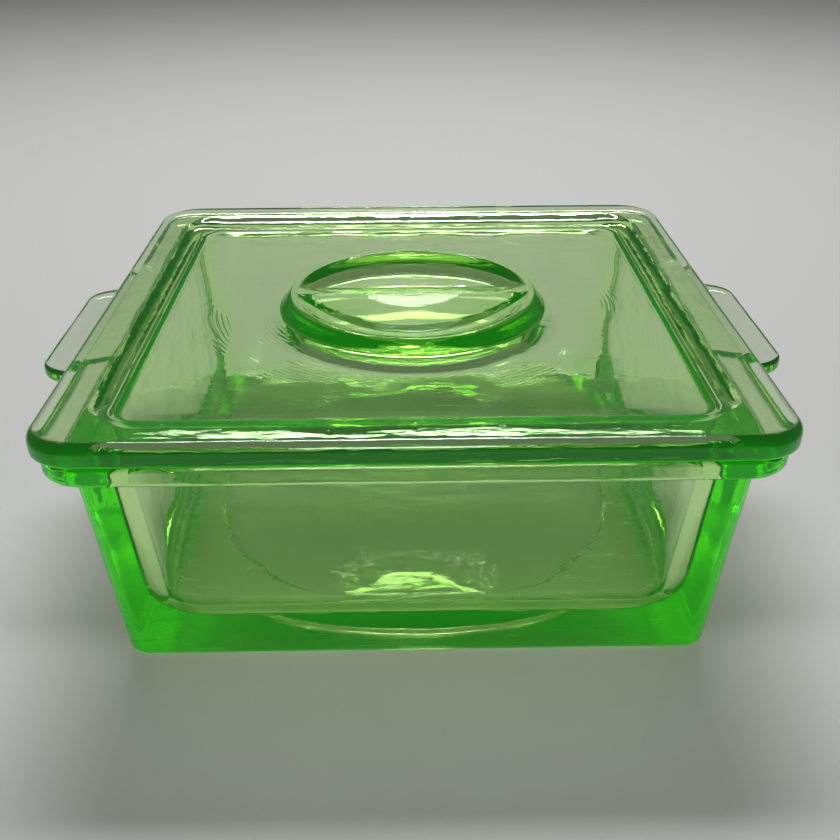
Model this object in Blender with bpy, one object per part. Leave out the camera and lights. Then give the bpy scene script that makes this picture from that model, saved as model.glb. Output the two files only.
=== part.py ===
"""Square pressed-glass storage dish with side tabs and a lift-off lid.

Two separate pieces of green glass.  The dish is one pressing: base, four walls, rim
flange and two finger tabs.  The lid is the other: flange, locating plug, sunken panel
and a round grip, whose raised ring holds a finger well with a bar across it.

Metres, +Z up.  The origin is on the table, under the middle of the dish.
"""
import math

import bmesh
import bpy

# Heights above the table
LID_TOP_Z = 0.0596           # top of the lid's flange
LID_FLANGE_THICK = 0.0052
LID_GAP = 0.0003             # between the lid and the rim it rests on
RIM_THICK = 0.0050
PANEL_SINK = 0.0022          # lid panel below the flange's top
PANEL_THICK = 0.0052

# Dish
DISH_RIM_SIDE = 0.147
WALL_SIDE_TOP = 0.1358       # outside of the walls, just under the flange
WALL_SIDE_BASE = 0.1278      # outside of the walls, carried down to the table
BASE_EDGE_R = 0.0020
BASE_EDGE_END_DEG = -4       # where the base's rounding meets the leaning wall
OUTER_CORNER_R = 0.0048
RIM_CORNER_R = 0.0095
RIM_EDGE_R = 0.0013
RIM_LOW_EDGE_R = 0.0019
MOUTH_SIDE = 0.1260          # opening at the rim
MOUTH_EDGE_R = 0.0009
MOUTH_CORNER_R = 0.0090
CAVITY_DRAFT = math.radians(4.5)
FLOOR_Z = 0.0070
FLOOR_FILLET_R = 0.0095
FLOOR_CORNER_R = 0.0110      # corner of the cavity where its walls start to round into the floor
FLOOR_FLAT_CORNER_R = 0.0035
RECESS_R = 0.0503            # round step under the base
RECESS_DEPTH = 0.0012
RECESS_DRAFT = 0.0007

# Side tabs
TAB_SPAN = 0.1732            # over both tabs
TAB_TOP_Z = 0.0516
TAB_THICK = 0.0032
TAB_ROOT_X = 0.066           # buried in the wall
TAB_ROOT_HALF = 0.0338
TAB_END_HALF = 0.0235
TAB_CORNER_R = 0.0060
TAB_EDGE_R = 0.0010

# Lid
LID_SIDE = 0.150
LID_CORNER_R = 0.0100
LID_EDGE_TOP_R = 0.0022
LID_EDGE_LOW_R = 0.0012
STEP_SIDE_TOP = 0.1300       # the panel's recess: its mouth, the foot of its slope, and its floor
STEP_SIDE_LOW = 0.1244
STEP_SIDE_END = 0.1168
STEP_CORNER_R = 0.0080
STEP_LOW_CORNER_R = 0.0065
STEP_END_CORNER_R = 0.0045
STEP_EDGE_R = 0.0005
STEP_LOW_SINK = 0.0017       # foot of the slope below the flange's top
PLUG_SIDE = 0.1224           # drops inside the dish's mouth
PLUG_EDGE_R = 0.0012
PLUG_CORNER_R = 0.0070
PLUG_DRAFT = 0.0002

# Round grip
RING_CREST_Z = 0.0608
RING_FOOT_R = 0.0326
RING_CREST_OUT_R = 0.0300
RING_CREST_IN_R = 0.0288
WELL_R = 0.0262              # edge of the well, below the crest's inner slope
WELL_RIM_SINK = 0.0022
WELL_DEPTH = 0.0085
GRIP_WALL = 0.0040           # glass under the middle of the well
BULGE_R = 0.0335             # round bulge under the panel
BULGE_SINK = 0.0004          # how far the bulge's body runs up into the panel
WELL_FLAT_R = 0.0020         # small flat at the bottom of the bowls
BAR_TOP_SINK = 0.0002
BAR_THICK = 0.0045
BAR_CHAMFER = 0.0004
BAR_DRAFT = math.radians(3.0)
CUT_OVER = 0.0010            # how far a cutter stands over the glass

# Fineness of the round stretches
CORNER_STEPS = 6
EDGE_STEPS = 3
FILLET_STEPS = 5
RING_STEPS = 56
BOWL_STEPS = 8

RIM_TOP_Z = LID_TOP_Z - LID_FLANGE_THICK - LID_GAP
RIM_LOW_Z = RIM_TOP_Z - RIM_THICK
LID_LOW_Z = LID_TOP_Z - LID_FLANGE_THICK
PANEL_Z = LID_TOP_Z - PANEL_SINK
PLUG_LOW_Z = PANEL_Z - PANEL_THICK
WELL_RIM_Z = RING_CREST_Z - WELL_RIM_SINK
WELL_FLOOR_Z = WELL_RIM_Z - WELL_DEPTH
WELL_SPHERE_R = (WELL_R ** 2 + WELL_DEPTH ** 2) / (2 * WELL_DEPTH)
BULGE_LOW_Z = WELL_FLOOR_Z - GRIP_WALL
BULGE_DROP = PLUG_LOW_Z - BULGE_LOW_Z
BULGE_SPHERE_R = (BULGE_R ** 2 + BULGE_DROP ** 2) / (2 * BULGE_DROP)
GLASS_GREEN = (0.10, 0.62, 0.10, 1.0)


def clear_scene():
    """Start from an empty file."""
    for item in list(bpy.data.objects):
        bpy.data.objects.remove(item, do_unlink=True)


def glass(name, shade):
    """Green glass for one piece."""
    material = bpy.data.materials.new(name)
    material.use_nodes = True
    shader = material.node_tree.nodes["Principled BSDF"]
    shader.inputs["Base Color"].default_value = shade
    shader.inputs["Roughness"].default_value = 0.05
    shader.inputs["Metallic"].default_value = 0.0
    shader.inputs["IOR"].default_value = 1.51
    shader.inputs["Transmission Weight"].default_value = 0.85
    material.diffuse_color = shade
    return material


def arc(centre_u, centre_v, radius, start_deg, end_deg, steps):
    """Points along an arc in a profile plane, both ends included."""
    points = []
    for i in range(steps + 1):
        angle = math.radians(start_deg + (end_deg - start_deg) * i / steps)
        points.append((centre_u + radius * math.cos(angle), centre_v + radius * math.sin(angle)))
    return points


def square_loop(half, corner_r, z):
    """A square with rounded corners, as points at one height."""
    reach = half - corner_r
    points = []
    for quarter, (sx, sy) in enumerate(((1, 1), (-1, 1), (-1, -1), (1, -1))):
        for x, y in arc(sx * reach, sy * reach, corner_r, 90 * quarter, 90 * quarter + 90, CORNER_STEPS):
            points.append((x, y, z))
    return points


def circle_loop(radius, z):
    """A circle at one height."""
    return [(radius * math.cos(2 * math.pi * i / RING_STEPS),
             radius * math.sin(2 * math.pi * i / RING_STEPS), z) for i in range(RING_STEPS)]


def loft(name, loops):
    """A closed solid through loops of equal length, capped flat at both ends."""
    mesh = bpy.data.meshes.new(name)
    bm = bmesh.new()
    rings = [[bm.verts.new(point) for point in loop] for loop in loops]
    for lower, upper in zip(rings, rings[1:]):
        for i, vert in enumerate(lower):
            j = (i + 1) % len(lower)
            bm.faces.new((vert, lower[j], upper[j], upper[i]))
    bm.faces.new(list(reversed(rings[0])))
    bm.faces.new(rings[-1])
    bmesh.ops.recalc_face_normals(bm, faces=bm.faces)
    bm.to_mesh(mesh)
    bm.free()
    thing = bpy.data.objects.new(name, mesh)
    bpy.context.scene.collection.objects.link(thing)
    return thing


def as_guide(thing):
    """Keep a cutter or a joining shape out of the finished part."""
    thing.hide_render = True
    thing.display_type = "WIRE"
    return thing


def combine(target, other, operation):
    """Join a shape to the target or cut it away."""
    modifier = target.modifiers.new(operation.lower() + "_" + other.name, "BOOLEAN")
    modifier.operation = operation
    modifier.solver = "EXACT"
    modifier.object = other


def finish(thing, material, crease_deg=35):
    """Smooth the round stretches and give the piece its glass."""
    thing.data.shade_smooth()
    thing.data.set_sharp_from_angle(angle=math.radians(crease_deg))
    thing.data.materials.append(material)


def dish_profile():
    """Half-width, corner radius and height from the base, over the rim, to the floor."""
    wall_top = WALL_SIDE_TOP / 2
    wall_base = WALL_SIDE_BASE / 2
    rim = DISH_RIM_SIDE / 2
    mouth = MOUTH_SIDE / 2
    profile = []
    for half, z in arc(wall_base - BASE_EDGE_R, BASE_EDGE_R, BASE_EDGE_R, -90, BASE_EDGE_END_DEG, EDGE_STEPS):
        profile.append((half, OUTER_CORNER_R - (wall_base - half), z))
    profile.append((wall_top, OUTER_CORNER_R, RIM_LOW_Z))
    for half, z in arc(rim - RIM_LOW_EDGE_R, RIM_LOW_Z + RIM_LOW_EDGE_R, RIM_LOW_EDGE_R,
                       -90, 0, EDGE_STEPS):
        profile.append((half, RIM_CORNER_R - (rim - half), z))
    for half, z in arc(rim - RIM_EDGE_R, RIM_TOP_Z - RIM_EDGE_R, RIM_EDGE_R, 0, 90, EDGE_STEPS):
        profile.append((half, RIM_CORNER_R - (rim - half), z))
    for half, z in arc(mouth + MOUTH_EDGE_R, RIM_TOP_Z - MOUTH_EDGE_R, MOUTH_EDGE_R, 90, 180, EDGE_STEPS):
        profile.append((half, MOUTH_CORNER_R + (half - mouth), z))
    wall_run = RIM_TOP_Z - MOUTH_EDGE_R - FLOOR_Z - FLOOR_FILLET_R
    foot = mouth - wall_run * math.tan(CAVITY_DRAFT)
    for half, z in arc(foot - FLOOR_FILLET_R, FLOOR_Z + FLOOR_FILLET_R, FLOOR_FILLET_R, 0, -90, FILLET_STEPS):
        share = (foot - half) / FLOOR_FILLET_R
        profile.append((half, FLOOR_CORNER_R + (FLOOR_FLAT_CORNER_R - FLOOR_CORNER_R) * share, z))
    return profile


def tab_outline():
    """Right-hand tab seen from above, a short trapezoid with its outer corners rounded."""
    end_x = TAB_SPAN / 2
    lean = math.degrees(math.atan2(TAB_ROOT_HALF - TAB_END_HALF, end_x - TAB_ROOT_X))
    turn = math.radians(90 - lean)
    setback = TAB_CORNER_R * math.tan(turn / 2)
    front = arc(end_x - TAB_CORNER_R, TAB_END_HALF - setback, TAB_CORNER_R, 0, 90 - lean, CORNER_STEPS)
    outline = [(TAB_ROOT_X, -TAB_ROOT_HALF)]
    outline += [(x, -y) for x, y in reversed(front)]
    outline += front
    outline.append((TAB_ROOT_X, TAB_ROOT_HALF))
    return outline


def tab(name, side):
    """One finger tab, which the dish takes up by union."""
    loops = []
    low = TAB_TOP_Z - TAB_THICK
    length = TAB_SPAN / 2 - TAB_ROOT_X
    heights = ((TAB_EDGE_R, low), (0.0, low + TAB_EDGE_R),
               (0.0, TAB_TOP_Z - TAB_EDGE_R), (TAB_EDGE_R, TAB_TOP_Z))
    for inset, z in heights:
        shorter = (length - inset) / length
        narrower = (TAB_END_HALF - inset) / TAB_END_HALF
        loops.append([(side * (TAB_ROOT_X + (x - TAB_ROOT_X) * shorter), y * narrower, z)
                      for x, y in tab_outline()])
    return as_guide(loft(name, loops))


def build_dish(material):
    """Base, walls, rim flange and tabs, with a shallow round step underneath."""
    dish = loft("dish", [square_loop(half, corner, z) for half, corner, z in dish_profile()])
    combine(dish, tab("tab_right", 1), "UNION")
    combine(dish, tab("tab_left", -1), "UNION")
    step = loft("base_recess", [circle_loop(RECESS_R, -RECESS_DEPTH),
                                circle_loop(RECESS_R, 0.0),
                                circle_loop(RECESS_R - RECESS_DRAFT, RECESS_DEPTH)])
    combine(dish, as_guide(step), "DIFFERENCE")
    finish(dish, material)
    return dish


def lid_profile():
    """Half-width, corner radius and height from the plug, round the flange, to the panel."""
    plug = PLUG_SIDE / 2
    outer = LID_SIDE / 2
    step_top = STEP_SIDE_TOP / 2
    profile = []
    for half, z in arc(plug - PLUG_EDGE_R, PLUG_LOW_Z + PLUG_EDGE_R, PLUG_EDGE_R, -90, 0, EDGE_STEPS):
        profile.append((half, PLUG_CORNER_R - (plug - half), z))
    profile.append((plug + PLUG_DRAFT, PLUG_CORNER_R, LID_LOW_Z))
    for half, z in arc(outer - LID_EDGE_LOW_R, LID_LOW_Z + LID_EDGE_LOW_R, LID_EDGE_LOW_R,
                       -90, 0, EDGE_STEPS):
        profile.append((half, LID_CORNER_R - (outer - half), z))
    for half, z in arc(outer - LID_EDGE_TOP_R, LID_TOP_Z - LID_EDGE_TOP_R, LID_EDGE_TOP_R, 0, 90, EDGE_STEPS):
        profile.append((half, LID_CORNER_R - (outer - half), z))
    profile.append((step_top + STEP_EDGE_R, STEP_CORNER_R + STEP_EDGE_R, LID_TOP_Z))
    profile.append((step_top - STEP_EDGE_R, STEP_CORNER_R, LID_TOP_Z - STEP_EDGE_R))
    profile.append((STEP_SIDE_LOW / 2, STEP_LOW_CORNER_R, LID_TOP_Z - STEP_LOW_SINK))
    profile.append((STEP_SIDE_END / 2, STEP_END_CORNER_R, PANEL_Z))
    return profile


def bowl(sphere_r, top_z, low_z):
    """Radius and height down a spherical bowl, from one level to its small flat bottom."""
    start = math.degrees(math.asin((top_z - low_z) / sphere_r - 1))
    stop = -math.degrees(math.acos(WELL_FLAT_R / sphere_r))
    return arc(0.0, low_z + sphere_r, sphere_r, start, stop, BOWL_STEPS)


def grip_body():
    """Raised ring above the panel and the round bulge under it."""
    panel_middle = PANEL_Z - PANEL_THICK / 2
    outside = [(RING_CREST_IN_R, RING_CREST_Z),
               (RING_CREST_OUT_R, RING_CREST_Z),
               (RING_FOOT_R, PANEL_Z),
               (RING_FOOT_R, panel_middle)]
    outside += bowl(BULGE_SPHERE_R, PLUG_LOW_Z + BULGE_SINK, BULGE_LOW_Z)
    return as_guide(loft("grip_body", [circle_loop(r, z) for r, z in outside]))


def finger_well():
    """The hollow in the grip, without the bar that stays across it."""
    slope = (RING_CREST_IN_R - WELL_R) / WELL_RIM_SINK
    inside = [(RING_CREST_IN_R + CUT_OVER * slope, RING_CREST_Z + CUT_OVER)]
    inside += bowl(WELL_SPHERE_R, WELL_RIM_Z, WELL_FLOOR_Z)
    well = as_guide(loft("finger_well", [circle_loop(r, z) for r, z in inside]))
    combine(well, grip_bar(), "DIFFERENCE")
    return well


def grip_bar():
    """The bar between thumb and finger, slightly wider at its foot."""
    top_z = RING_CREST_Z - BAR_TOP_SINK
    foot_z = (WELL_FLOOR_Z + BULGE_LOW_Z) / 2
    half = BAR_THICK / 2
    foot_half = half + (top_z - foot_z) * math.tan(BAR_DRAFT)
    length = RING_CREST_OUT_R
    loops = []
    for wide, z in ((foot_half, foot_z), (half, top_z - BAR_CHAMFER), (half - BAR_CHAMFER, top_z)):
        loops.append([(-length, -wide, z), (length, -wide, z), (length, wide, z), (-length, wide, z)])
    return as_guide(loft("grip_bar", loops))


def build_lid(material):
    """Flange, plug and panel, joined to the round grip and then hollowed for the fingers."""
    lid = loft("lid", [square_loop(half, corner, z) for half, corner, z in lid_profile()])
    combine(lid, grip_body(), "UNION")
    combine(lid, finger_well(), "DIFFERENCE")
    finish(lid, material)
    return lid


def main():
    clear_scene()
    build_dish(glass("dish_glass", GLASS_GREEN))
    build_lid(glass("lid_glass", GLASS_GREEN))


main()
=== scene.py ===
"""Looks of a square pressed-glass storage dish and its lift-off lid.

Each piece is one continuous skin of glass, lofted through loops that share one set of
directions round the Z axis.  A loop is a square with rounded corners; a corner radius as
large as the half-width makes it a circle.  Overall sizes come from the CAD frame.
Metres, +Z up, origin on the table under the middle of the dish.
"""
import math

import bmesh
import bpy
import numpy as np
from mathutils import Matrix, Vector, noise


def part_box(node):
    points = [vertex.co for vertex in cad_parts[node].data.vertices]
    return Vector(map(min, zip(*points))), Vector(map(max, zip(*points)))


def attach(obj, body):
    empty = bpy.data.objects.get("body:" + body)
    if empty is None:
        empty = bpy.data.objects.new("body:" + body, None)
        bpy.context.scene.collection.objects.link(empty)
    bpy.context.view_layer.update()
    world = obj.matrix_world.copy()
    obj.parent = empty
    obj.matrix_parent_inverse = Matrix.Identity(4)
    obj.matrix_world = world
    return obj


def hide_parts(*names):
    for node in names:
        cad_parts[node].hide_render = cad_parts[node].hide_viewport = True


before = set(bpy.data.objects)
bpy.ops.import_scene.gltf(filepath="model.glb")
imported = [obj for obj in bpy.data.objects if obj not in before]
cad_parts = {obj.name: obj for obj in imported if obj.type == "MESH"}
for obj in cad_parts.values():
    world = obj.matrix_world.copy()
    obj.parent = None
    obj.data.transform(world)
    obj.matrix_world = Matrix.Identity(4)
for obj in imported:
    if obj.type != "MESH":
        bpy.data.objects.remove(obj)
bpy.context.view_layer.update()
DISH_LOW, DISH_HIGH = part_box("dish")
LID_LOW, LID_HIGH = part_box("lid")

# Lid, driven by its box: the flange's outline, the ring's crest and the bottom of the well
LID_HALF = (LID_HIGH.x - LID_LOW.x) / 2
CREST_Z = LID_HIGH.z
BULGE_Z = LID_LOW.z
FLANGE_Z = CREST_Z - 0.0012          # flat top of the lid's flange
FLANGE_LOW_Z = FLANGE_Z - 0.0052
FLANGE_JOINT_R = 0.0003              # sharp inner corner where the plug meets the flange
PANEL_Z = FLANGE_Z - 0.0022
PLUG_Z = PANEL_Z - 0.0052            # underside of the panel
LID_CORNER_R = 0.0100
LID_TOP_EDGE_R = 0.0022
LID_LOW_EDGE_R = 0.0012
STEP_TOP_HALF = LID_HALF - 0.0100    # inner edge of the flange's top
STEP_LOW_HALF = STEP_TOP_HALF - 0.0028
STEP_END_HALF = STEP_LOW_HALF - 0.0038
STEP_LOW_Z = FLANGE_Z - 0.0017
STEP_EDGE_R = 0.0006
STEP_LOW_R = 0.0080
STEP_END_R = 0.0060
STEP_CORNER_R = 0.0080
STEP_LOW_CORNER_R = 0.0065
STEP_END_CORNER_R = 0.0045
PLUG_HALF = 0.0612
PLUG_EDGE_R = 0.0012
PLUG_CORNER_R = 0.0070

# Round grip
RING_FOOT_R = 0.0326
RING_OUT_R = 0.0300
RING_IN_R = 0.0288
RING_EDGE_R = 0.0006
RING_FOOT_FILLET = 0.0008
RING_MARGIN = 0.0010                 # width of the panel's last loops, which are circles, round the ring
WELL_R = 0.0262
WELL_RIM_Z = CREST_Z - 0.0022        # the crest slopes in and down to the well's edge
WELL_DEPTH = 0.0085
WELL_WALL_SHARE = 0.72               # down to this share of its radius the well is made of loops
SHOULDER_EDGE = 0.0003               # rounding at both ends of the crest's inner slope
SHOULDER_TOP_DROP = 0.00008
SHOULDER_LOW_RISE = 0.00022
WELL_SPHERE_R = (WELL_R ** 2 + WELL_DEPTH ** 2) / (2 * WELL_DEPTH)
BULGE_R = 0.0335                     # the bulge under the panel
BULGE_SPHERE_R = (BULGE_R ** 2 + (PLUG_Z - BULGE_Z) ** 2) / (2 * (PLUG_Z - BULGE_Z))
BAR_HALF = 0.00225
BAR_TOP_Z = CREST_Z - 0.0002
BAR_EDGE_R = 0.0005
BAR_DRAFT = math.radians(3.0)
BAR_BLEND = 0.0010                   # softness of the joint between the bar and the well
BAR_SHOULDER = 0.98                  # share of the bar's edge radius that is followed before its wall starts
BAR_NEAR_DEG = (10, 20)              # loops run parallel to the bar up to here, then turn round over this
BULGE_BLEND = 0.0022
BULGE_END_R = 0.0410                 # the underside is flat beyond this
FLAT_START_R = 0.0420
POLE_R = 0.0008                      # first loop round the axis

# Dish
RIM_HALF = (DISH_HIGH.y - DISH_LOW.y) / 2
RIM_Z = DISH_HIGH.z
RIM_LOW_Z = RIM_Z - 0.0050
RIM_EDGE_R = 0.0013
RIM_LOW_EDGE_R = 0.0019
RIM_CORNER_R = 0.0095
WALL_TOP_HALF = RIM_HALF - 0.0056
WALL_BASE_HALF = WALL_TOP_HALF - 0.0040
RIM_WIDTH = RIM_HALF - WALL_TOP_HALF     # how far the rim stands out from the wall
WALL_CORNER_R = 0.0048
BASE_EDGE_R = 0.0020
UNDER_RIM_FILLET = 0.0010
WALL_END_DROP = 0.0030               # the wall's own loops stop this far under the rim
RIM_START_Z = RIM_LOW_Z - 0.0020     # and the rim's loops start here
EDGE_MARGIN = 0.0001
RIM_STOP_Z = RIM_Z - RIM_EDGE_R - 2 * EDGE_MARGIN
MOUTH_HALF = 0.0630
MOUTH_EDGE_R = 0.0011
MOUTH_CORNER_R = 0.0090
CAVITY_DRAFT = math.radians(4.5)
FLOOR_Z = 0.0070
FLOOR_FILLET_R = 0.0095
FLOOR_CORNER_R = 0.0110
FLOOR_ROUND_R = 0.0200               # inside this half-width the floor's loops are circles
RECESS_R = 0.0503
RECESS_DEPTH = 0.0012
RECESS_DRAFT = 0.0007
RECESS_EDGE_R = 0.0003
DISH_POLE_R = 0.0010                 # first and last loop round the axis

# Side tabs
TAB_REACH = DISH_HIGH.x
TAB_TOP_Z = 0.0516
TAB_THICK = 0.0032
TAB_ROOT_HALF = 0.0290
TAB_ROOT_FILLET = 0.0040
TAB_LIMIT = 0.0340                   # the rim is untouched beyond this
TAB_END_HALF = 0.0235
TAB_CORNER_R = 0.0072
TAB_EDGE_R = 0.0010
TAB_FILLET_R = 0.0009
TAB_BLEND = 0.0020
TAB_UNDER_FILLET = 0.0008
TAB_SLIGHT = 0.4                     # share of a short reach-out that its roundings may take
TAB_LEAST = 1e-5                     # a shorter reach-out is no tab

# Glass
IOR = 1.51
SURFACE_TINT = (0.97, 1.0, 0.96, 1.0)
GLASS_COLOUR = (0.60, 0.933, 0.067, 1.0)
GLASS_DENSITY = 45.0
# painted light: colour of the green emission inside the glass, which no lamp casts
PAINTED_GLOW_COLOUR = (0.02, 1.0, 0.01, 1.0)
PAINTED_GLOW_PER_METRE = 2.2                 # painted light: emission per metre crossed inside the glass, a stand-in for the pure green that thick glass shows when lit, not a measured value

# Surface relief in metres, and the number of waves or grains to a metre
SLOW_WAVE = 0.00006
SLOW_WAVE_SIZE = 0.011
FLOW_HEIGHT = 0.00006
FLOW_SCALE = 75.0
PEEL_HEIGHT = 0.000012
PEEL_SCALE = 330.0
PEEL_STRETCH = (0.5, 1.0, 1.0)
CRINKLE_HEIGHT = 0.00010
CRINKLE_SCALE = 230.0
CRINKLE_STRETCH = 0.30
CRINKLE_DETAIL = 3.0
CRINKLE_START = STEP_LOW_HALF - 0.001    # wrinkles set in from here to the flange's top
CRINKLE_MITRE = 0.002                # their direction turns over this much, either side of a diagonal
GRAIN_HEIGHT = 0.00003
GRAIN_SCALE = 210.0
GRAIN_SHARE = 0.035
GRAIN_RADII = (0.05, 0.22)           # full height up to the first, none beyond the second, in cells
SCRATCH_HEIGHT = 0.000004
SCRATCH_SCALE = 900.0
SCRATCH_TURNS = (0.5, -0.9)
SCRATCH_STRETCH = (0.05, 1.0, 1.0)
SCRATCH_LEVELS = (0.66, 0.74)        # noise turns into a scratch between these
RING_HEIGHT = 0.000012
RING_PITCH = 0.0012
RING_DRIFT = RING_PITCH * 2          # noise shifts the rings in or out by up to half of this
RING_DRIFT_SCALE = 60.0
RING_PATCH_SCALE = 45.0
RING_PATCH_LEVELS = (-0.05, 0.20)
RING_FADE_IN = 0.004                 # rings start at the grip's foot and fade out between the next two
RING_FADE_FROM = 0.010
RING_FADE_TO = 0.022
BASE_WEAR = 0.22                     # roughness of the rubbed border the dish stands on
BASE_WEAR_Z = 0.0004
HAZE = 0.012
HAZE_SCALE = 30.0
HAZE_LEVELS = (-0.1, 0.3)
SCRATCH_ROUGHNESS = 0.10

# Studio
FLOOR_GAP = 0.0002                   # the floor stays this far under the base
FLOOR_HALF = 6.0
FLOOR_PAINT = (0.62, 0.62, 0.61, 1.0)
FLOOR_ROUGHNESS = 0.7
SKY_COLOUR = (1.0, 1.0, 1.0, 1.0)
SKY_STRENGTH = 0.14
LAMP_AIM_Z = 0.03
OVERHEAD_PLACE = (0.0, 0.50, 0.90)
OVERHEAD_SIZE = (0.70, 0.18)
OVERHEAD_POWER = 7.4
FRONT_PLACE = (0.0, -0.62, 0.42)
FRONT_SIZE = (0.20, 0.20)
FRONT_POWER = 1.2
LENS = 44.66                         # lens and sensor in millimetres
SENSOR_WIDTH = 36.0
CAMERA_PITCH = math.radians(28.41)
CAMERA_YAW = math.radians(-0.91)
CAMERA_ROLL = math.radians(-0.23)
CAMERA_PLACE = (-0.014, -1.615, 0.636)   # from the middle of the flange's top, in widths of the lid
CAMERA_NEAR = 0.01
LIGHT_BOUNCES = 32                   # light crosses many faces of clear glass

# Fineness.  Spans of one quadrant: from, to, number of steps
LID_SPANS = ((0, 3.3, 4), (3.3, 6.6, 16), (6.6, 10, 5), (10, 40.5, 20), (40.5, 49.5, 14), (49.5, 90, 18))
DISH_SPANS = ((0, 24, 60), (24, 40, 12), (40, 42.6, 5), (42.6, 47.4, 22), (47.4, 50, 5), (50, 90, 28))
BULGE_STEPS = 54
SHOULDER_STEPS = 5
WELL_WALL_STEPS = 12
ARC_STEPS = 6
OUTLINE_STEPS = 14
ROW_STEPS = 90
TINY = 1e-12                         # keeps a division or a sign away from zero


def quadrant_directions(spans):
    """Angles round the axis, the same in each quadrant, with the finest steps where the spans say."""
    pieces = [np.linspace(start, stop, steps, endpoint=False) for start, stop, steps in spans]
    quarter = np.append(np.concatenate(pieces), 90.0)
    mirrored = 180.0 - quarter[::-1]
    half = np.concatenate([quarter[:-1], mirrored[:-1]])
    return np.radians(np.concatenate([half, half + 180.0]))


def reach(angles, half, corner_r):
    """How far a square with rounded corners reaches in each direction."""
    major = np.maximum(np.abs(np.cos(angles)), np.abs(np.sin(angles)))
    minor = np.minimum(np.abs(np.cos(angles)), np.abs(np.sin(angles)))
    corner_r = min(corner_r, half)
    centre = half - corner_r
    toward = centre * (major + minor)
    on_corner = toward + np.sqrt(np.maximum(toward ** 2 - 2 * centre ** 2 + corner_r ** 2, 0.0))
    return np.where(half * minor / major <= centre, half / major, on_corner)


def plan(angles, half, corner_r):
    """Points of one loop seen from above."""
    far = reach(angles, half, corner_r)
    return np.stack([far * np.cos(angles), far * np.sin(angles)], axis=1)


def rounded_path(corners, arc_steps=ARC_STEPS):
    """A path through corners of (half-width, height, fillet, plan corner radius, steps to the next corner).

    Each corner is rounded with its fillet, and the plan radius runs evenly from corner to corner."""
    spots = [np.array(corner[:2], float) for corner in corners]
    plans = [corner[3] for corner in corners]
    path = []
    last = len(corners) - 1
    for i, (spot, corner) in enumerate(zip(spots, corners)):
        if i in (0, last) or corner[2] <= 0:
            path.append((*spot, plans[i]))
            leave = spot
        else:
            leave = round_corner(path, spots, plans, i, corner[2], arc_steps)
        if i < last:
            target = approach(spots, corners, i + 1)
            steps = corner[4]
            for k in range(1, steps):
                share = k / steps
                middle = leave + (target - leave) * share
                blend = np.linalg.norm(middle - spot) / max(np.linalg.norm(spots[i + 1] - spot), TINY)
                path.append((*middle, plans[i] + (plans[i + 1] - plans[i]) * blend))
    return path


def tangent_length(spots, i, fillet):
    """How far from corner i its fillet touches the two straight stretches."""
    back = spots[i - 1] - spots[i]
    ahead = spots[i + 1] - spots[i]
    cosine = back @ ahead / (np.linalg.norm(back) * np.linalg.norm(ahead))
    return fillet / math.tan(math.acos(max(-1.0, min(1.0, cosine))) / 2)


def approach(spots, corners, i):
    """Where the path meets the start of corner i's fillet."""
    if i == len(corners) - 1 or corners[i][2] <= 0:
        return spots[i]
    back = spots[i - 1] - spots[i]
    return spots[i] + back / np.linalg.norm(back) * tangent_length(spots, i, corners[i][2])


def round_corner(path, spots, plans, i, fillet, arc_steps):
    """Add the arc of corner i to the path and return its far end."""
    back = spots[i - 1] - spots[i]
    ahead = spots[i + 1] - spots[i]
    length = tangent_length(spots, i, fillet)
    arrive = spots[i] + back / np.linalg.norm(back) * length
    leave = spots[i] + ahead / np.linalg.norm(ahead) * length
    bisector = back / np.linalg.norm(back) + ahead / np.linalg.norm(ahead)
    centre = spots[i] + bisector / np.linalg.norm(bisector) * math.hypot(length, fillet)
    start = math.atan2(*(arrive - centre)[::-1])
    turn = math.atan2(*(leave - centre)[::-1]) - start
    turn = (turn + math.pi) % (2 * math.pi) - math.pi
    for k in range(arc_steps + 1):
        angle = start + turn * k / arc_steps
        spot = centre + fillet * np.array([math.cos(angle), math.sin(angle)])
        path.append((*spot, plans[i]))
    return leave


def smooth_max(a, b, softness):
    """The larger of two heights, with a fillet where they cross."""
    gap = np.clip(1 - np.abs(a - b) / softness, 0, 1)
    return np.maximum(a, b) + softness * gap ** 2 / 4


def ease(share):
    """0 to 1 with level ends."""
    share = np.clip(share, 0, 1)
    return share * share * (3 - 2 * share)


class Skin:
    """Vertices and faces of one closed piece."""

    def __init__(self):
        self.points = []
        self.faces = []

    def add(self, points):
        """Add points and return their numbers."""
        first = len(self.points)
        self.points.extend(map(tuple, points))
        return np.arange(first, first + len(points))

    def strip(self, lower, upper):
        """Join two loops, point to point."""
        for i in range(len(lower)):
            j = (i + 1) % len(lower)
            self.faces.append((lower[i], lower[j], upper[j], upper[i]))

    def fan(self, loop, centre):
        """Close a loop with triangles that meet in one point."""
        for i in range(len(loop)):
            self.faces.append((centre, loop[i], loop[(i + 1) % len(loop)]))

    def build(self, name):
        """The finished object, its faces pointing out."""
        mesh = bpy.data.meshes.new(name)
        mesh.from_pydata(self.points, [], [tuple(int(v) for v in face) for face in self.faces])
        bm = bmesh.new()
        bm.from_mesh(mesh)
        bmesh.ops.recalc_face_normals(bm, faces=bm.faces)
        bm.to_mesh(mesh)
        bm.free()
        mesh.shade_smooth()
        thing = bpy.data.objects.new(name, mesh)
        bpy.context.scene.collection.objects.link(thing)
        return thing


def loft(skin, angles, path):
    """Loops along a path, joined one to the next.  Returns the first and last loop."""
    loops = []
    for half, z, corner_r in path:
        flat = plan(angles, half, corner_r)
        loops.append(skin.add(np.column_stack([flat, np.full(len(flat), z)])))
    for lower, upper in zip(loops, loops[1:]):
        skin.strip(lower, upper)
    return loops[0], loops[-1]


def well_height(r):
    """Height of the finger well, without its bar, at a distance from the axis."""
    return WELL_RIM_Z - WELL_DEPTH + WELL_SPHERE_R - np.sqrt(WELL_SPHERE_R ** 2 - r ** 2)


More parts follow.
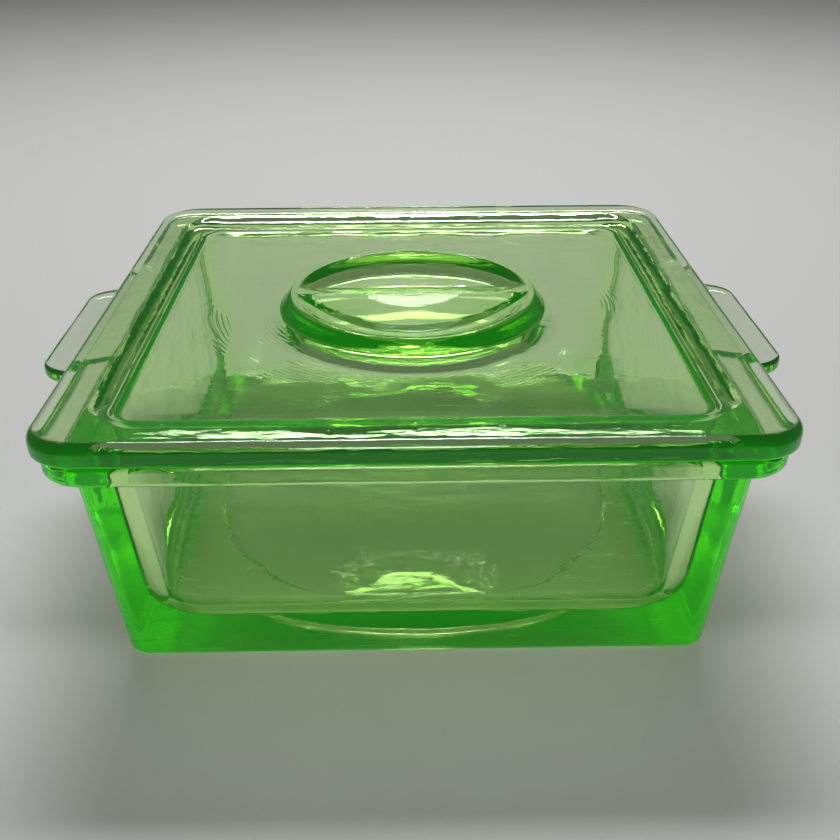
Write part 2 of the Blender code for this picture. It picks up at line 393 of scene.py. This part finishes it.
def bar_height(y):
    """Height of the bar across the well, which falls away steeply on both sides."""
    beyond = np.abs(y) - BAR_HALF + BAR_EDGE_R
    rounded = BAR_EDGE_R * BAR_SHOULDER
    shoulder = BAR_EDGE_R - np.sqrt(BAR_EDGE_R ** 2 - np.clip(beyond, 0, rounded) ** 2)
    wall = np.clip(beyond - rounded, 0, None) / math.tan(BAR_DRAFT)
    return BAR_TOP_Z - shoulder - wall


def bulge_height(r):
    """Underside of the lid: the bowl's outside, running into the panel's flat underside."""
    bowl = BULGE_Z + BULGE_SPHERE_R - np.sqrt(BULGE_SPHERE_R ** 2 - r ** 2)
    return -smooth_max(-bowl, np.full_like(r, -PLUG_Z), BULGE_BLEND)


def unsettle(thing, amount, size):
    """Give a surface the slow waves of pressed glass."""
    mesh = thing.data
    normals = [vertex.normal.copy() for vertex in mesh.vertices]
    for vertex, normal in zip(mesh.vertices, normals):
        vertex.co += normal * amount * noise.noise(vertex.co / size)


def lid_underside():
    """From the middle of the bulge out to where the panel's underside is flat."""
    radii = np.linspace(POLE_R, BULGE_END_R, BULGE_STEPS)
    heights = bulge_height(radii)
    return [(r, z, r) for r, z in zip(radii, heights)]


def lid_path():
    """From the panel's underside round the flange, over the panel and up the ring to its crest."""
    circle_end = RING_FOOT_R + RING_MARGIN
    return rounded_path([
        (FLAT_START_R, PLUG_Z, 0, FLAT_START_R, 12),
        (PLUG_HALF, PLUG_Z, PLUG_EDGE_R, PLUG_CORNER_R, 2),
        (PLUG_HALF, FLANGE_LOW_Z, FLANGE_JOINT_R, PLUG_CORNER_R, 6),
        (LID_HALF, FLANGE_LOW_Z, LID_LOW_EDGE_R, LID_CORNER_R, 2),
        (LID_HALF, FLANGE_Z, LID_TOP_EDGE_R, LID_CORNER_R, 8),
        (STEP_TOP_HALF, FLANGE_Z, STEP_EDGE_R, STEP_CORNER_R, 2),
        (STEP_LOW_HALF, STEP_LOW_Z, STEP_LOW_R, STEP_LOW_CORNER_R, 4),
        (STEP_END_HALF, PANEL_Z, STEP_END_R, STEP_END_CORNER_R, 34),
        (circle_end, PANEL_Z, 0, circle_end, 2),
        (RING_FOOT_R, PANEL_Z, RING_FOOT_FILLET, RING_FOOT_R, 4),
        (RING_OUT_R, CREST_Z, RING_EDGE_R, RING_OUT_R, 1),
        (RING_IN_R, CREST_Z, 0, RING_IN_R, 1),
    ])


def grip_path():
    """Radius and height from the crest, over the sloping shoulder and down the well's wall."""
    top_r = RING_IN_R - SHOULDER_EDGE
    top_z = CREST_Z - SHOULDER_TOP_DROP
    low_r = WELL_R + SHOULDER_EDGE
    low_z = WELL_RIM_Z + SHOULDER_LOW_RISE
    shares = [k / SHOULDER_STEPS for k in range(SHOULDER_STEPS + 1)]
    shoulder = [(top_r + (low_r - top_r) * share, top_z + (low_z - top_z) * share) for share in shares]
    wall = [(r, well_height(r)) for r in np.linspace(WELL_R, WELL_R * WELL_WALL_SHARE, WELL_WALL_STEPS)]
    return shoulder + wall


def grip_well(skin, angles, crest):
    """The inside of the ring: its wall in loops, then rows across the bowl and the bar."""
    quarter = len(angles) // 4
    from_bar = np.degrees(np.abs(np.arcsin(np.sin(angles))))
    near_bar = 1 - ease((from_bar - BAR_NEAR_DEG[0]) / BAR_NEAR_DEG[1])
    previous = crest
    for r, level in grip_path():
        parallel = np.arcsin(np.clip(RING_IN_R * np.sin(angles) / r, -1, 1))
        radial = np.arcsin(np.sin(angles))
        climb = parallel * near_bar + radial * (1 - near_bar)
        x = r * np.cos(climb) * np.sign(np.cos(angles) + TINY)
        y = r * np.sin(climb)
        z = smooth_max(np.full_like(y, level), bar_height(y), BAR_BLEND)
        loop = skin.add(np.column_stack([x, y, z]))
        skin.strip(previous, loop)
        previous = loop
    rows(skin, previous, quarter)


def rows(skin, loop, quarter):
    """Fill a circular loop with rows parallel to the bar."""
    count = len(loop)
    shares = np.sin(np.linspace(-math.pi / 2, math.pi / 2, ROW_STEPS + 1))[1:-1]
    lines = []
    for j in range(-quarter + 1, quarter):
        right = loop[j % count]
        left = loop[(2 * quarter - j) % count]
        x_end, y, _ = skin.points[right]
        x = shares * x_end
        level = np.full_like(x, y)
        z = smooth_max(well_height(np.hypot(x, level)), bar_height(level), BAR_BLEND)
        inside = skin.add(np.column_stack([x, level, z]))
        lines.append(np.concatenate([[left], inside, [right]]))
    for low, high in zip(lines, lines[1:]):
        for k in range(len(low) - 1):
            skin.faces.append((low[k], low[k + 1], high[k + 1], high[k]))
    for line, pole in ((lines[0], loop[-quarter % count]), (lines[-1], loop[quarter])):
        for k in range(len(line) - 1):
            skin.faces.append((pole, line[k], line[k + 1]))


def build_lid():
    angles = quadrant_directions(LID_SPANS)
    skin = Skin()
    first, last = loft(skin, angles, lid_underside() + lid_path())
    skin.fan(first, skin.add([(0.0, 0.0, BULGE_Z)])[0])
    grip_well(skin, angles, last)
    return skin.build("lid_glass")


def dish_outside():
    """From the middle of the base to the wall, just under the rim."""
    recess_out = RECESS_R + RECESS_DRAFT
    return rounded_path([
        (DISH_POLE_R, RECESS_DEPTH, 0, DISH_POLE_R, 22),
        (RECESS_R, RECESS_DEPTH, RECESS_EDGE_R, RECESS_R, 2),
        (recess_out, 0.0, RECESS_EDGE_R, recess_out, 8),
        (WALL_BASE_HALF, 0.0, BASE_EDGE_R, WALL_CORNER_R, 30),
        (WALL_TOP_HALF, RIM_LOW_Z - WALL_END_DROP, 0, WALL_CORNER_R, 1),
    ])


def rim_path():
    """Offset from the wall and height, from under the rim round its lower edge and up its face."""
    return rounded_path([
        (0.0, RIM_START_Z, 0, 0, 2),
        (0.0, RIM_LOW_Z, UNDER_RIM_FILLET, 0, 8),
        (RIM_WIDTH, RIM_LOW_Z, RIM_LOW_EDGE_R, 0, 3),
        (RIM_WIDTH, RIM_LOW_Z + RIM_LOW_EDGE_R + 2 * EDGE_MARGIN, 0, 0, 3),
        (RIM_WIDTH, RIM_LOW_Z + RIM_LOW_EDGE_R + 4 * EDGE_MARGIN, 0, 0, 12),
        (RIM_WIDTH, TAB_TOP_Z + EDGE_MARGIN, 0, 0, 5),
        (RIM_WIDTH, RIM_STOP_Z, 0, 0, 1),
    ])


def tab_path(beyond):
    """The same way, drawn out under, round and over a tab that reaches beyond the rim."""
    reach_out = RIM_WIDTH + beyond
    low = TAB_TOP_Z - TAB_THICK
    edge_r = min(TAB_EDGE_R, beyond * TAB_SLIGHT)
    fillet = min(TAB_FILLET_R, beyond * TAB_SLIGHT)
    return rounded_path([
        (0.0, RIM_START_Z, 0, 0, 2),
        (0.0, low, TAB_UNDER_FILLET, 0, 8),
        (reach_out, low, edge_r, 0, 3),
        (reach_out, TAB_TOP_Z, edge_r, 0, 9),
        (RIM_WIDTH, TAB_TOP_Z, fillet, 0, 4),
        (RIM_WIDTH, RIM_STOP_Z, 0, 0, 1),
    ])


def flange_loops(angles):
    """Loops under, round and over the rim's edge, drawn out into a tab on each side."""
    wall = plan(angles, WALL_TOP_HALF, WALL_CORNER_R)
    edge = plan(angles, RIM_HALF, RIM_CORNER_R)
    ends, reaches = tab_ends(edge)
    plain = rim_path()
    columns = []
    for start, middle, end, beyond in zip(wall, edge, ends, reaches):
        drawn = float(ease(beyond / TAB_BLEND))
        pulled = tab_path(beyond) if beyond > TAB_LEAST else plain
        column = []
        # the tab's path has a few more points, so it stops in the fillet where the tab meets the rim
        for (calm_offset, calm_z, _), (out_offset, out_z, _) in zip(plain, pulled):
            calm = along(start, middle, middle, calm_offset)
            out = along(start, middle, end, out_offset)
            column.append((*(calm + (out - calm) * drawn), calm_z + (out_z - calm_z) * drawn))
        columns.append(column)
    return zip(*columns)


def tab_ends(edge):
    """For each point of the rim's outline, the tab's outline it is drawn out to, and how far that is."""
    ends = edge.copy()
    outline = np.array(rounded_path([
        (TAB_REACH, 0.0, 0, 0, 1),
        (TAB_REACH, TAB_END_HALF, TAB_CORNER_R, 0, 1),
        (RIM_HALF, TAB_ROOT_HALF, TAB_ROOT_FILLET, 0, 1),
        (RIM_HALF, TAB_LIMIT, 0, 0, 1)], OUTLINE_STEPS))
    run = np.concatenate([[0], np.cumsum(np.hypot(*np.diff(outline[:, :2], axis=0).T))])
    inside = np.abs(edge[:, 1]) < TAB_LIMIT
    share = np.abs(edge[inside, 1]) / TAB_LIMIT * run[-1]
    ends[inside, 0] = np.sign(edge[inside, 0]) * np.interp(share, run, outline[:, 0])
    ends[inside, 1] = np.sign(edge[inside, 1]) * np.interp(share, run, outline[:, 1])
    return ends, np.linalg.norm(ends - edge, axis=1)


def along(wall, edge, end, offset):
    """The point at an offset from the wall, on the way over the rim's edge to the tab's end."""
    length = np.linalg.norm(end - edge)
    if offset > RIM_WIDTH and length > 0:
        return edge + (end - edge) * min(1.0, (offset - RIM_WIDTH) / length)
    return wall + (edge - wall) * np.clip(offset / RIM_WIDTH, 0, 1)


def dish_inside():
    """From the rim's outer edge over its top, down the cavity to the middle of the floor."""
    wall_drop = RIM_Z - FLOOR_Z
    foot = MOUTH_HALF - wall_drop * math.tan(CAVITY_DRAFT)
    return rounded_path([
        (RIM_HALF, RIM_Z - RIM_EDGE_R - EDGE_MARGIN, 0, RIM_CORNER_R, 1),
        (RIM_HALF, RIM_Z, RIM_EDGE_R, RIM_CORNER_R, 6),
        (MOUTH_HALF, RIM_Z, MOUTH_EDGE_R, MOUTH_CORNER_R, 26),
        (foot, FLOOR_Z, FLOOR_FILLET_R, FLOOR_CORNER_R, 24),
        (FLOOR_ROUND_R, FLOOR_Z, 0, FLOOR_ROUND_R, 14),
        (DISH_POLE_R, FLOOR_Z, 0, DISH_POLE_R, 1),
    ])


def build_dish():
    angles = quadrant_directions(DISH_SPANS)
    skin = Skin()
    first, previous = loft(skin, angles, dish_outside())
    skin.fan(first, skin.add([(0.0, 0.0, RECESS_DEPTH)])[0])
    for points in flange_loops(angles):
        loop = skin.add(points)
        skin.strip(previous, loop)
        previous = loop
    inner_first, inner_last = loft(skin, angles, dish_inside())
    skin.strip(previous, inner_first)
    skin.fan(inner_last, skin.add([(0.0, 0.0, FLOOR_Z)])[0])
    return skin.build("dish_glass")


def chain(material, kind, **values):
    """A new node with some of its properties set."""
    node = material.node_tree.nodes.new(kind)
    for key, value in values.items():
        setattr(node, key, value)
    return node


def sum_of(material, *sockets):
    """Add several values."""
    total = sockets[0]
    for socket in sockets[1:]:
        total = calculate(material, "ADD", total, socket)
    return total


def calculate(material, operation, *values):
    """One step of arithmetic on sockets and plain numbers."""
    node = chain(material, "ShaderNodeMath", operation=operation)
    for slot, value in zip(node.inputs, values):
        if isinstance(value, (int, float)):
            slot.default_value = value
        else:
            material.node_tree.links.new(value, slot)
    return node.outputs["Value"]


def span(material, value, low, high, out_low=0.0, out_high=1.0):
    """Map a value from one range to another, smoothly and clamped."""
    node = chain(material, "ShaderNodeMapRange", interpolation_type="SMOOTHSTEP")
    material.node_tree.links.new(value, node.inputs["Value"])
    for slot, number in (("From Min", low), ("From Max", high), ("To Min", out_low), ("To Max", out_high)):
        node.inputs[slot].default_value = number
    return node.outputs["Result"]


def noise_value(material, place, scale, detail=2.0, stretch=(1.0, 1.0, 1.0)):
    """Smooth noise over the surface, -0.5 to 0.5."""
    mapping = chain(material, "ShaderNodeMapping")
    mapping.inputs["Scale"].default_value = stretch
    material.node_tree.links.new(place, mapping.inputs["Vector"])
    node = chain(material, "ShaderNodeTexNoise")
    node.inputs["Scale"].default_value = scale
    node.inputs["Detail"].default_value = detail
    material.node_tree.links.new(mapping.outputs["Vector"], node.inputs["Vector"])
    return calculate(material, "SUBTRACT", node.outputs["Fac"], 0.5)


def specks(material, place, scale, share):
    """Small round grains on a few of the cells of a random pattern."""
    cell = chain(material, "ShaderNodeTexVoronoi")
    cell.inputs["Scale"].default_value = scale
    material.node_tree.links.new(place, cell.inputs["Vector"])
    chosen = calculate(material, "GREATER_THAN", cell.outputs["Color"], 1 - share)
    grain = span(material, cell.outputs["Distance"], *GRAIN_RADII, 1.0, 0.0)
    return calculate(material, "MULTIPLY", grain, chosen)


def scratches(material, place, turn):
    """Fine straight scratches in one direction, broken up by noise."""
    mapping = chain(material, "ShaderNodeMapping")
    mapping.inputs["Rotation"].default_value = (0.0, 0.0, turn)
    mapping.inputs["Scale"].default_value = SCRATCH_STRETCH
    material.node_tree.links.new(place, mapping.inputs["Vector"])
    lines = chain(material, "ShaderNodeTexNoise")
    lines.inputs["Scale"].default_value = SCRATCH_SCALE
    lines.inputs["Detail"].default_value = 1.0
    material.node_tree.links.new(mapping.outputs["Vector"], lines.inputs["Vector"])
    return span(material, lines.outputs["Fac"], *SCRATCH_LEVELS)


def rim_crinkle(material, place):
    """Short wrinkles along the four sides of the flange, lengthwise on each side."""
    parts = chain(material, "ShaderNodeSeparateXYZ")
    material.node_tree.links.new(place, parts.inputs["Vector"])
    x, y = (calculate(material, "ABSOLUTE", parts.outputs[axis]) for axis in "XY")
    along_x = noise_value(material, place, CRINKLE_SCALE, CRINKLE_DETAIL, (CRINKLE_STRETCH, 1.0, 1.0))
    along_y = noise_value(material, place, CRINKLE_SCALE, CRINKLE_DETAIL, (1.0, CRINKLE_STRETCH, 1.0))
    past_diagonal = calculate(material, "SUBTRACT", x, y)
    at_side = span(material, past_diagonal, -CRINKLE_MITRE, CRINKLE_MITRE)
    mixed = chain(material, "ShaderNodeMix")
    for value, slot in ((at_side, "Factor"), (along_x, "A"), (along_y, "B")):
        material.node_tree.links.new(value, mixed.inputs[slot])
    edge = span(material, calculate(material, "MAXIMUM", x, y), CRINKLE_START, STEP_TOP_HALF)
    return calculate(material, "MULTIPLY", mixed.outputs["Result"], edge)


def chill_rings(material, place):
    """Fine rings that the cooling mould left round the lid's grip, stronger in some places."""
    parts = chain(material, "ShaderNodeSeparateXYZ")
    material.node_tree.links.new(place, parts.inputs["Vector"])
    x, y, z = (parts.outputs[axis] for axis in "XYZ")
    x_square = calculate(material, "MULTIPLY", x, x)
    y_square = calculate(material, "MULTIPLY", y, y)
    square = calculate(material, "ADD", x_square, y_square)
    radius = calculate(material, "SQRT", square)
    drift = calculate(material, "MULTIPLY", noise_value(material, place, RING_DRIFT_SCALE), RING_DRIFT)
    drifted = calculate(material, "ADD", radius, drift)
    phase = calculate(material, "MULTIPLY", drifted, 2 * math.pi / RING_PITCH)
    wave = calculate(material, "SINE", phase)
    start = span(material, radius, RING_FOOT_R, RING_FOOT_R + RING_FADE_IN)
    stop = span(material, radius, RING_FOOT_R + RING_FADE_FROM, RING_FOOT_R + RING_FADE_TO, 1.0, 0.0)
    top = span(material, z, PLUG_Z, PANEL_Z)
    patches = span(material, noise_value(material, place, RING_PATCH_SCALE), *RING_PATCH_LEVELS)
    strength = calculate(material, "MULTIPLY", calculate(material, "MULTIPLY", start, stop), patches)
    return calculate(material, "MULTIPLY", wave, calculate(material, "MULTIPLY", strength, top))


def glass_material(name, with_rings):
    """Green pressed glass: clear where thin, saturated where light travels far inside it, from real
    absorption and from a painted green emission that no lamp casts.
    """
    material = bpy.data.materials.new(name)
    material.use_nodes = True
    links = material.node_tree.links
    shader = material.node_tree.nodes["Principled BSDF"]
    place = chain(material, "ShaderNodeTexCoord").outputs["Object"]
    shader.inputs["Base Color"].default_value = SURFACE_TINT
    shader.inputs["IOR"].default_value = IOR
    shader.inputs["Transmission Weight"].default_value = 1.0

    flow = calculate(material, "MULTIPLY", noise_value(material, place, FLOW_SCALE), FLOW_HEIGHT)
    fine = noise_value(material, place, PEEL_SCALE, stretch=PEEL_STRETCH)
    peel = calculate(material, "MULTIPLY", fine, PEEL_HEIGHT)
    crinkle = calculate(material, "MULTIPLY", rim_crinkle(material, place), CRINKLE_HEIGHT)
    grains = calculate(material, "MULTIPLY", specks(material, place, GRAIN_SCALE, GRAIN_SHARE), GRAIN_HEIGHT)
    lines = sum_of(material, *(scratches(material, place, turn) for turn in SCRATCH_TURNS))
    marks = calculate(material, "MULTIPLY", lines, -SCRATCH_HEIGHT)
    heights = [flow, peel, crinkle, grains, marks]
    if with_rings:
        heights.append(calculate(material, "MULTIPLY", chill_rings(material, place), RING_HEIGHT))
    bump = chain(material, "ShaderNodeBump")
    bump.inputs["Distance"].default_value = 1.0
    links.new(sum_of(material, *heights), bump.inputs["Height"])
    links.new(bump.outputs["Normal"], shader.inputs["Normal"])

    parts = chain(material, "ShaderNodeSeparateXYZ")
    links.new(place, parts.inputs["Vector"])
    worn = span(material, parts.outputs["Z"], 0.0, BASE_WEAR_Z, BASE_WEAR, 0.0)
    patches = span(material, noise_value(material, place, HAZE_SCALE), *HAZE_LEVELS)
    haze = calculate(material, "MULTIPLY", patches, HAZE)
    scuffs = calculate(material, "MULTIPLY", lines, SCRATCH_ROUGHNESS)
    links.new(sum_of(material, worn, haze, scuffs), shader.inputs["Roughness"])
    # painted light: green emission inside the glass
    painted_glow(material, shader)

    absorb = chain(material, "ShaderNodeVolumeAbsorption")
    absorb.inputs["Color"].default_value = GLASS_COLOUR
    absorb.inputs["Density"].default_value = GLASS_DENSITY
    links.new(absorb.outputs["Volume"], material.node_tree.nodes["Material Output"].inputs["Volume"])
    return material


def painted_glow(material, shader):
    """Painted light: a green emission, cast by no lamp, that grows with the distance a ray has just
    travelled inside the glass.
    """
    length = chain(material, "ShaderNodeLightPath").outputs["Ray Length"]
    inner_face = chain(material, "ShaderNodeNewGeometry").outputs["Backfacing"]
    inside = calculate(material, "MULTIPLY", length, inner_face)
    strength = calculate(material, "MULTIPLY", inside, PAINTED_GLOW_PER_METRE)
    material.node_tree.links.new(strength, shader.inputs["Emission Strength"])
    shader.inputs["Emission Color"].default_value = PAINTED_GLOW_COLOUR
    material.cycles.emission_sampling = "NONE"


def studio():
    """A plain pale floor, an even grey sky and two soft lamps."""
    world = bpy.data.worlds.new("studio")
    bpy.context.scene.world = world
    world.use_nodes = True
    sky = world.node_tree.nodes["Background"]
    sky.inputs["Color"].default_value = SKY_COLOUR
    sky.inputs["Strength"].default_value = SKY_STRENGTH

    mesh = bpy.data.meshes.new("floor")
    corners = [(x * FLOOR_HALF, y * FLOOR_HALF, -FLOOR_GAP) for x, y in ((-1, -1), (1, -1), (1, 1), (-1, 1))]
    mesh.from_pydata(corners, [], [(0, 1, 2, 3)])
    floor = bpy.data.objects.new("floor", mesh)
    bpy.context.scene.collection.objects.link(floor)
    material = bpy.data.materials.new("floor_paint")
    material.use_nodes = True
    paint = material.node_tree.nodes["Principled BSDF"]
    paint.inputs["Base Color"].default_value = FLOOR_PAINT
    paint.inputs["Roughness"].default_value = FLOOR_ROUGHNESS
    mesh.materials.append(material)

    lamp("overhead", OVERHEAD_PLACE, OVERHEAD_SIZE, OVERHEAD_POWER)
    lamp("front", FRONT_PLACE, FRONT_SIZE, FRONT_POWER)


def lamp(name, place, size, power):
    """A soft oval lamp aimed at the object."""
    data = bpy.data.lights.new(name, "AREA")
    data.shape = "ELLIPSE"
    data.size, data.size_y = size
    data.energy = power
    thing = bpy.data.objects.new(name, data)
    bpy.context.scene.collection.objects.link(thing)
    thing.location = place
    aim = Vector((0.0, 0.0, LAMP_AIM_Z)) - Vector(place)
    thing.rotation_mode = "QUATERNION"
    thing.rotation_quaternion = aim.to_track_quat("-Z", "Y")


def camera():
    """A front view from above, close to the dish."""
    data = bpy.data.cameras.new("camera")
    data.sensor_width = SENSOR_WIDTH
    data.lens = LENS
    thing = bpy.data.objects.new("camera", data)
    bpy.context.scene.collection.objects.link(thing)
    level = Matrix.Rotation(math.pi / 2 - CAMERA_PITCH, 4, "X")
    turn = Matrix.Rotation(CAMERA_YAW, 4, "Z") @ level @ Matrix.Rotation(CAMERA_ROLL, 4, "Z")
    place = Vector((0.0, 0.0, FLANGE_Z)) + Vector(CAMERA_PLACE) * 2 * LID_HALF
    thing.matrix_world = Matrix.Translation(place) @ turn
    data.clip_start = CAMERA_NEAR
    bpy.context.scene.camera = thing


lid = build_lid()
dish = build_dish()
for piece, node in ((lid, "lid"), (dish, "dish")):
    unsettle(piece, SLOW_WAVE, SLOW_WAVE_SIZE)
    piece.data.materials.append(glass_material(node + "_green_glass", piece is lid))
    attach(piece, node)
    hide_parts(node)
studio()
camera()
bpy.context.scene.view_settings.view_transform = "Standard"
bpy.context.scene.cycles.max_bounces = LIGHT_BOUNCES
bpy.context.scene.cycles.transmission_bounces = LIGHT_BOUNCES

bpy.context.view_layer.update()
